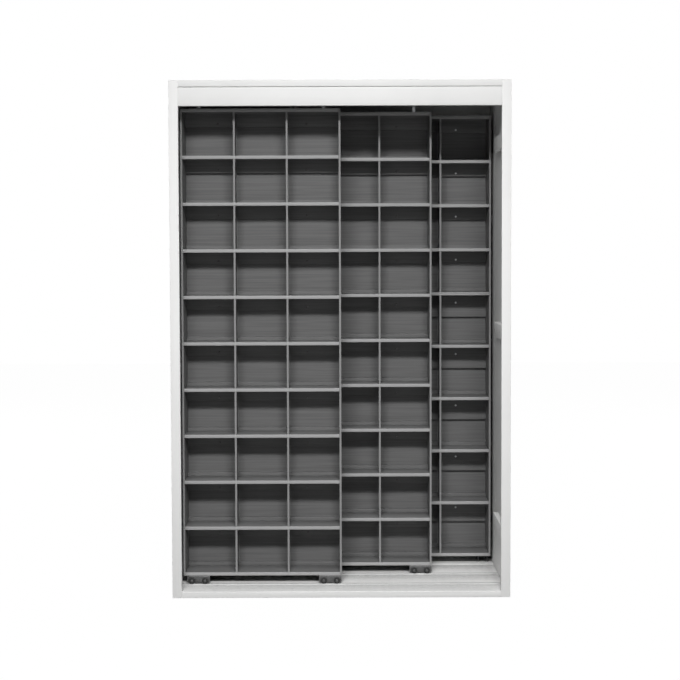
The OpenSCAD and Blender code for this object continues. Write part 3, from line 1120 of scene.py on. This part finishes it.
@dataclass
class FixedRacks:
    """The two racks at the back, each a lower unit with an upper unit on top."""

    dresser: Dresser
    lefts: tuple[float, float] = (-634.0, -1.0)
    front: float = 129.5
    under: float = 56.0
    row: float = 183.5
    rows: int = 10
    upper: int = 4
    lower: int = 5
    drop: float = 49.0
    tall_drop: float = 97.0
    back_gap: float = 0.5
    foot_w: float = 40.0
    foot_d: float = 70.0
    foot_h: float = 32.0
    foot_in: float = 30.0
    foot_t: float = 2.0

    def build(self) -> None:
        """Makes both racks, and dresses what they have alike as one piece."""
        lips, uprights = rack_enamels("rear", self.front)
        joint = self.under + (self.rows - self.upper) * self.row
        tall = (joint - self.under) / self.lower
        low = [self.under + i * tall for i in range(self.lower + 1)]
        high = [joint + i * self.row for i in range(self.upper + 1)]
        made: dict[tuple[str, str], list[Piece]] = {}
        places: list[Point] = []
        for s in [SheetWork(left, self.front) for left in self.lefts]:
            for key, parts in self.rack(s, low, high).items():
                made.setdefault(key, []).extend(parts)
            places += s.screw_places(low) + s.screw_places(high)
        for (name, node), parts in made.items():
            finish = uprights if node.endswith(("sides", "dividers")) else lips
            piece = join(f"rear_{name}", parts)
            self.dresser.dress(piece, finish, Body.CABINET.value, f"rear_{node}")
        piece = join("rear_rail_fixings", repeated(screw("rail_screw", SheetWork.screw_l), places))
        self.dresser.dress(piece, ZINC, Body.CABINET.value, "rear_rack_screws")

    def rack(
        self, s: SheetWork, low: Sequence[float], high: Sequence[float]
    ) -> dict[tuple[str, str], list[Piece]]:
        """Makes the folded pieces of one rack.

        Args:
            s: The rack's sheet work.
            low: The heights of the undersides of the lower unit's pans.
            high: The same for the upper unit.

        Returns:
            The objects, by the ends of their piece's name and of its node.
        """
        base, joint, top = self.under, high[0], high[-1] + s.lip
        half, cover_z = s.lip / 2, top - s.lip
        seam, cap = joint + half, top - s.sheet
        low_rails = s.rails(low, self.tall_drop, (base, s.lip), seam - s.sheet)
        high_rails = s.rails(high, self.drop, (seam, half), cap)
        return {
            ("upper_uprights", "upper_sides"): s.sides(seam, cap),
            ("lower_uprights", "lower_sides"): s.sides(base, seam - s.sheet),
            ("upper_pans", "upper_plates"): [s.cover(cover_z, s.lip), s.tray("tray", seam, half)],
            ("lower_pans", "lower_plates"): [s.cover(joint, half), s.tray("tray", base, s.lip)],
            ("shelf_pans", "rack_shelves"): s.shelves(low) + s.shelves(high),
            ("cell_dividers", "rack_dividers"): s.dividers(low) + s.dividers(high),
            ("folded_rails", "rack_rails"): low_rails + high_rails,
            ("folded_feet", "rack_feet"): self.feet(s),
            ("back_sheets", "rack_backs"): [s.back(base, seam - self.back_gap), s.back(seam, top)],
        }

    def feet(self, s: SheetWork) -> list[Piece]:
        """Folds the two feet under one rack.

        Args:
            s: The rack's sheet work.

        Returns:
            The feet.
        """
        y, z, made = self.front + self.foot_in, self.under, []
        for x in (s.inner[0], s.inner[1] - self.foot_w):
            high = (x + self.foot_w, y + self.foot_d, z)
            foot = channel("foot", (x, y, z), high, "x", (0.0, 0.0, -self.foot_h))
            made.append(close_folds(foot, s.bend, self.foot_t))
        return made


@dataclass
class RollingRack:
    """A rack that rolls sideways: its sheet work, trucks, wheels and top guides."""

    dresser: Dresser
    name: str
    body: Body
    left: float
    front: float
    under: float = 56.0
    row: float = 183.5
    rows: int = 10
    drop: float = 49.0
    wheel_r: float = 12.5
    wheel_w: float = 8.0
    wheel_base: float = 52.0
    bore_r: float = 3.08
    groove: float = 2.5
    axle_r: float = 3.0
    axle_head: float = 1.6
    axle_z: float = 36.8
    gap: float = 0.3
    truck_l: float = 90.0
    truck_h: float = 28.0
    truck_t: float = 2.0
    truck_bend: float = 3.0
    truck_corner: float = 7.0
    truck_edge: float = 1.0
    left_truck_in: float = 14.0
    bracket_in: float = 50.0
    bracket_t: float = 3.0
    # Half the length and half the depth of the brackets' plates, of their posts and of the shoes
    bracket: tuple[float, float] = (35.0, 12.0)
    post: tuple[float, float] = (6.0, 4.0)
    shoe: tuple[float, float] = (25.0, 9.0)
    bracket_screw: float = 29.5
    post_in: float = 18.0
    post_from: float = 2.0
    shoe_z: float = 1955.6
    shoe_h: float = 14.0
    sheets: SheetWork = field(init=False)
    top: float = field(init=False)

    def __post_init__(self) -> None:
        """Sets up the rack's sheet work and works out its top."""
        self.sheets = SheetWork(self.left, self.front)
        self.top = self.under + self.rows * self.row + self.sheets.lip

    def build(self) -> None:
        """Makes and dresses all the pieces of the rack."""
        self.build_sheets()
        self.build_gear()
        self.build_guides()

    def finish(self, name: str, parts: Sequence[Piece], finish: Finish, node: str) -> None:
        """Joins and dresses one piece of the rack, named by the ends of its name and its node."""
        piece = join(f"{self.name}_{name}", parts)
        self.dresser.dress(piece, finish, self.body.value, f"{self.name}_{node}")

    def build_sheets(self) -> None:
        """Makes the folded sheets and their screws."""
        s, base, top = self.sheets, self.under, self.top
        cap = top - s.sheet
        lips, uprights = rack_enamels(self.name, self.front)
        levels = [base + i * self.row for i in range(self.rows + 1)]
        self.finish("uprights", s.sides(base, cap), uprights, "rack_sides")
        self.finish("top_pan", [s.cover(top - s.lip, s.lip)], lips, "rack_top")
        self.finish("base_pan", [s.tray("base", base, s.lip)], lips, "rack_base")
        self.finish("shelf_pans", s.shelves(levels), lips, "rack_shelves")
        self.finish("cell_dividers", s.dividers(levels), uprights, "rack_dividers")
        self.finish("back_sheet", [s.back(base, top)], lips, "rack_back")
        rails = s.rails(levels, self.drop, (base, s.lip), cap)
        self.finish("folded_rails", rails, lips, "rack_rails")
        screws = repeated(screw("rail_screw", s.screw_l), s.screw_places(levels))
        pattern = screw("bracket_screw", s.screw_l)
        pattern.data.transform(Matrix.Rotation(math.radians(-90), 4, "X"))
        places = [
            (centre + way * self.bracket_screw, self.front + GUIDE_LINE, top + self.bracket_t)
            for centre, _ in self.guide_centres()
            for way in (-1, 1)
        ]
        screws += repeated(pattern, places)
        self.finish("fixings", screws, SHADE_DARKENED_ZINC, "rack_screws")

    def guide_centres(self) -> list[tuple[float, float]]:
        """Gives each top bracket's middle, and the way from it to the rack's middle."""
        right = self.left + self.sheets.width
        return [(self.left + self.bracket_in, 1.0), (right - self.bracket_in, -1.0)]

    def truck_centres(self) -> list[float]:
        """Gives the middles of the two trucks along the rack."""
        inset = self.truck_edge + self.truck_l / 2
        return [self.left + inset + self.left_truck_in, self.left + self.sheets.width - inset]

    def build_gear(self) -> None:
        """Makes the trucks, the axles and the wheels."""
        # The trucks and axles are in zinc darkened as painted shade.
        trucks = [self.truck(centre) for centre in self.truck_centres()]
        self.finish("folded_trucks", trucks, SHADE_DARKENED_ZINC, "rack_trucks")
        xs = [c + way * self.wheel_base / 2 for c in self.truck_centres() for way in (-1, 1)]
        lead_at = -self.gap - self.wheel_w
        trail_at = self.sheets.shelf - self.truck_t - self.gap - self.wheel_w
        axles = self.axles(xs, lead_at, trail_at)
        self.finish("turned_axles", axles, SHADE_DARKENED_ZINC, "rack_axles")
        for number, x in enumerate(xs):
            centre = (x, self.front, self.axle_z)
            lead = lathe("lead", self.wheel_outline(lead_at, True), centre, 48)
            trail = lathe("trail", self.wheel_outline(trail_at, False), centre, 48)
            piece = join(f"{self.name}_rollers_{number + 1}", [lead, trail])
            node = f"{self.name}_wheels_{number + 1}"
            self.dresser.dress(piece, BLACK_NYLON, node, node)

    def axles(self, xs: Sequence[float], lead_at: float, trail_at: float) -> list[Piece]:
        """Turns the axles, each with a head before its front wheel, a collar before its rear one.

        Args:
            xs: The axles' places along the rack.
            lead_at: The front wheels' front faces, counted from the rack's front plane.
            trail_at: The rear wheels' front faces.

        Returns:
            The axles.
        """
        r, head, end = self.axle_r, self.axle_head, self.sheets.shelf
        at = lead_at - self.gap - head
        shaft = [
            (at + 0.4, 0.0), (at, 1.2), (at, r + 0.2), (at + 0.35, r + 1.5), (at + 0.9, r + 2.0),
            (at + head, r + 2.0), (at + head, r), (end - 0.6, r), (end, r - 0.6), (end, 0.0),
        ]
        at = trail_at - self.gap - head
        collar = [
            (at, r), (at, r + 1.6), (at + 0.4, r + 2.0), (at + head - 0.4, r + 2.0),
            (at + head, r + 1.6), (at + head, r), (at, r),
        ]
        first = (xs[0], self.front, self.axle_z)
        turned = [lathe("turned", outline, first, 24) for outline in (shaft, collar)]
        return repeated(join("axle", turned), [(x - xs[0], 0, 0) for x in xs])

    def wheel_outline(self, start: float, grooved: bool) -> list[tuple[float, float]]:
        """Draws half a wheel's section: a dished web, a hub and a rounded tread.

        Args:
            start: The wheel's front face, counted from the rack's front plane.
            grooved: Whether the tread has the groove for the track's rib.

        Returns:
            Pairs of depth and radius that close on themselves.
        """
        r, w, bore, floor = self.wheel_r, self.wheel_w, self.bore_r, self.wheel_r - self.groove
        half = [
            (0.0, bore), (0.0, 5.0), (0.3, 5.4), (1.5, 5.9), (1.5, 8.7), (0.5, 9.5), (0.0, 10.0),
            (0.0, r - 0.9), (0.25, r - 0.3), (0.8, r),
        ]
        if grooved:
            half += [(2.0, r), (2.2, r - 0.3), (2.3, floor)]
        outline = half + [(w - d, radius) for d, radius in reversed(half)] + [half[0]]
        return [(start + d, radius) for d, radius in outline]

    def truck(self, centre: float) -> Piece:
        """Folds one truck, with rounded lower corners.

        Args:
            centre: The truck's middle along the rack.

        Returns:
            The truck.
        """
        front, rear, half, z = self.front, self.sheets.rear, self.truck_l / 2, self.under
        low, high = (centre - half, front, z), (centre + half, rear, z)
        piece = channel("truck", low, high, "y", (0.0, 0.0, -self.truck_h))
        choose(piece, "VERT", lambda vert: near(vert.co.z / MM, z - self.truck_h))
        bpy.ops.mesh.bevel(offset=self.truck_corner * MM, segments=5, affect="VERTICES")
        return close_folds(piece, self.truck_bend, self.truck_t)

    def build_guides(self) -> None:
        """Makes the brackets on the rack's top and the shoes that run in the channel."""
        y, top, z = self.front + GUIDE_LINE, self.top, self.shoe_z
        brackets, shoes = [], []
        for x, way in self.guide_centres():
            inward = x + way * self.post_in
            for made, name, at, half, low, high, radius, segments in (
                (brackets, "base", x, self.bracket, top, top + self.bracket_t, 1.0, 3),
                (brackets, "post", inward, self.post, top + self.post_from, z, 0.8, 2),
                (shoes, "shoe", inward, self.shoe, z, z + self.shoe_h, 2.5, 4),
            ):
                ends = (at - half[0], y - half[1], low), (at + half[0], y + half[1], high)
                made.append(round_board(name, *ends, radius, segments))
                smooth(made[-1])
        self.finish("top_brackets", brackets, ZINC, "guide_brackets")
        self.finish("runner_shoes", shoes, PALE_NYLON, "guide_shoes")


# The studio


def seen_directly(tree: Tree) -> Socket:
    """Tells the rays that see the studio itself, straight, mirrored or through glass.

    Args:
        tree: The node tree.

    Returns:
        One for such a ray and nought for a ray of scattered light.
    """
    path = add_node(tree, "ShaderNodeLightPath")
    seen = path.outputs["Is Camera Ray"]
    for kind in ("Is Glossy Ray", "Is Transmission Ray"):
        either = {0: seen, 1: path.outputs[kind]}
        seen = add_node(tree, "ShaderNodeMath", {"operation": "MAXIMUM"}, either).outputs[0]
    return seen


@dataclass(frozen=True)
class Lamp:
    """A softbox on the right and its twin on the left, in watts and metres."""

    name: str
    power: float
    size: tuple[float, float]
    place: Point
    aim: Point


@dataclass
class Studio:
    """The floor, the lights and the camera, matched to the photograph."""

    focal_px: float = 1207.52
    place: Point = (-1.98, -4913.5, 1372.55)
    pitch: float = 0.039548
    roll: float = -0.003203
    principal_y: float = 291.855
    # The front lamps stand where the shadows in the cells show, and are turned down, so that the
    # light on the front is as even as in the photograph. The high lamps light the cabinet's floor.
    # The rear lamps only light the back and the sides, which the photograph doesn't show.
    lamps: tuple[Lamp, ...] = (
        Lamp("front_lamp", 162.0, (0.35, 1.3), (0.75, -4.1, 3.45), (0.0, -3.9, 0.0)),
        Lamp("high_lamp", 480.0, (4.0, 4.0), (2.0, -6.5, 20.0), (0.0, -0.2, 0.0)),
        Lamp("rear_lamp", 200.0, (1.6, 2.4), (4.2, 3.9, 2.7), (0.0, 0.0, 1.0)),
    )
    ambient: float = 0.01
    floor_mm: float = 9000.0
    floor_sink: float = 0.5
    floor_tone: float = 0.22
    floor_glow: float = 1.04
    glow_share: float = 0.95

    def build_camera(self) -> None:
        """Sets the camera by its focal length in pixels, its place and its tilt."""
        data = bpy.data.cameras.new("photo_camera")
        data.sensor_width = SENSOR
        data.lens = self.focal_px * SENSOR / PHOTO_SIDE
        data.shift_y = -(PHOTO_SIDE / 2 - self.principal_y) / PHOTO_SIDE
        data.clip_start = 0.1
        data.clip_end = 60.0
        camera = bpy.data.objects.new("photo_camera", data)
        bpy.context.scene.collection.objects.link(camera)
        ahead = Vector((0.0, math.cos(self.pitch), -math.sin(self.pitch)))
        level = Vector((1.0, 0.0, 0.0))
        above = Vector((0.0, math.sin(self.pitch), math.cos(self.pitch)))
        right = level * math.cos(self.roll) + above * math.sin(self.roll)
        up = above * math.cos(self.roll) - level * math.sin(self.roll)
        turn = Matrix((right, up, -ahead)).transposed().to_4x4()
        camera.matrix_world = Matrix.Translation(Vector(self.place) * MM) @ turn
        bpy.context.scene.camera = camera

    def add_lamp(self, lamp: Lamp, way: int) -> None:
        """Adds one softbox.

        Args:
            lamp: What it is like.
            way: The side that it stands on, -1 or 1.
        """
        data = bpy.data.lights.new(lamp.name, "AREA")
        data.shape = "RECTANGLE"
        data.size, data.size_y = lamp.size
        data.energy = lamp.power
        holder = bpy.data.objects.new(lamp.name, data)
        bpy.context.scene.collection.objects.link(holder)
        spot = Vector((way * lamp.place[0], lamp.place[1], lamp.place[2]))
        turn = (Vector(lamp.aim) - spot).to_track_quat("-Z", "Y")
        holder.matrix_world = Matrix.Translation(spot) @ turn.to_matrix().to_4x4()

    def build_world(self) -> None:
        """Lights the room softly, and shows white behind the object."""
        world = bpy.data.worlds.new("studio")
        bpy.context.scene.world = world
        tree = emptied(world)
        plain = {"Color": (1, 1, 1, 1)}
        soft = add_node(tree, "ShaderNodeBackground", {}, {**plain, "Strength": self.ambient})
        white = add_node(tree, "ShaderNodeBackground", {}, {**plain, "Strength": 1.0})
        parts = {0: seen_directly(tree), 1: soft.outputs[0], 2: white.outputs[0]}
        mix = add_node(tree, "ShaderNodeMixShader", {}, parts)
        add_node(tree, "ShaderNodeOutputWorld", {}, {"Surface": mix.outputs[0]})

    def build_floor(self) -> None:
        """Lays a pale floor that reads as white and keeps the object's faint shadow."""
        reach = self.floor_mm
        floor = plate("studio_floor", (-reach, -reach, 0), (reach, reach, 0))
        floor.data.transform(Matrix.Translation((0, 0, -self.floor_sink * MM)))
        material = bpy.data.materials.new("studio_floor_white")
        tree = emptied(material)
        tone = self.floor_tone
        paint = add_node(tree, "ShaderNodeBsdfDiffuse", {}, {"Color": (tone, tone, tone, 1)})
        light = {"Color": (1, 1, 1, 1), "Strength": self.floor_glow}
        glow = add_node(tree, "ShaderNodeEmission", {}, light)
        factors = {0: seen_directly(tree), 1: self.glow_share}
        share = add_node(tree, "ShaderNodeMath", {"operation": "MULTIPLY"}, factors)
        parts = {0: share.outputs[0], 1: paint.outputs[0], 2: glow.outputs[0]}
        mix = add_node(tree, "ShaderNodeMixShader", {}, parts)
        add_node(tree, "ShaderNodeOutputMaterial", {}, {"Surface": mix.outputs[0]})
        floor.data.materials.append(material)

    def build(self) -> None:
        """Sets up the whole studio."""
        bpy.context.scene.view_settings.view_transform = "Standard"
        self.build_camera()
        for way in (-1, 1):
            for lamp in self.lamps:
                self.add_lamp(lamp, way)
        self.build_world()
        self.build_floor()


def main() -> None:
    """Builds the studio and the object, group by group, and logs how many pieces it dressed."""
    logging.basicConfig(level=logging.INFO, format="%(message)s")
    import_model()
    dresser = Dresser()
    Studio().build()
    case = CabinetCase(dresser)
    case.build_boards()
    case.build_floor_plates()
    case.build_channels()
    case.build_battens()
    FixedRacks(dresser).build()
    RollingRack(dresser, "front", Body.FRONT, -628.0, -158.5).build()
    RollingRack(dresser, "middle", Body.MIDDLE, -260.0, -14.5).build()
    LOG.info("%d pieces dressed", dresser.count)


if __name__ == "__main__":
    main()
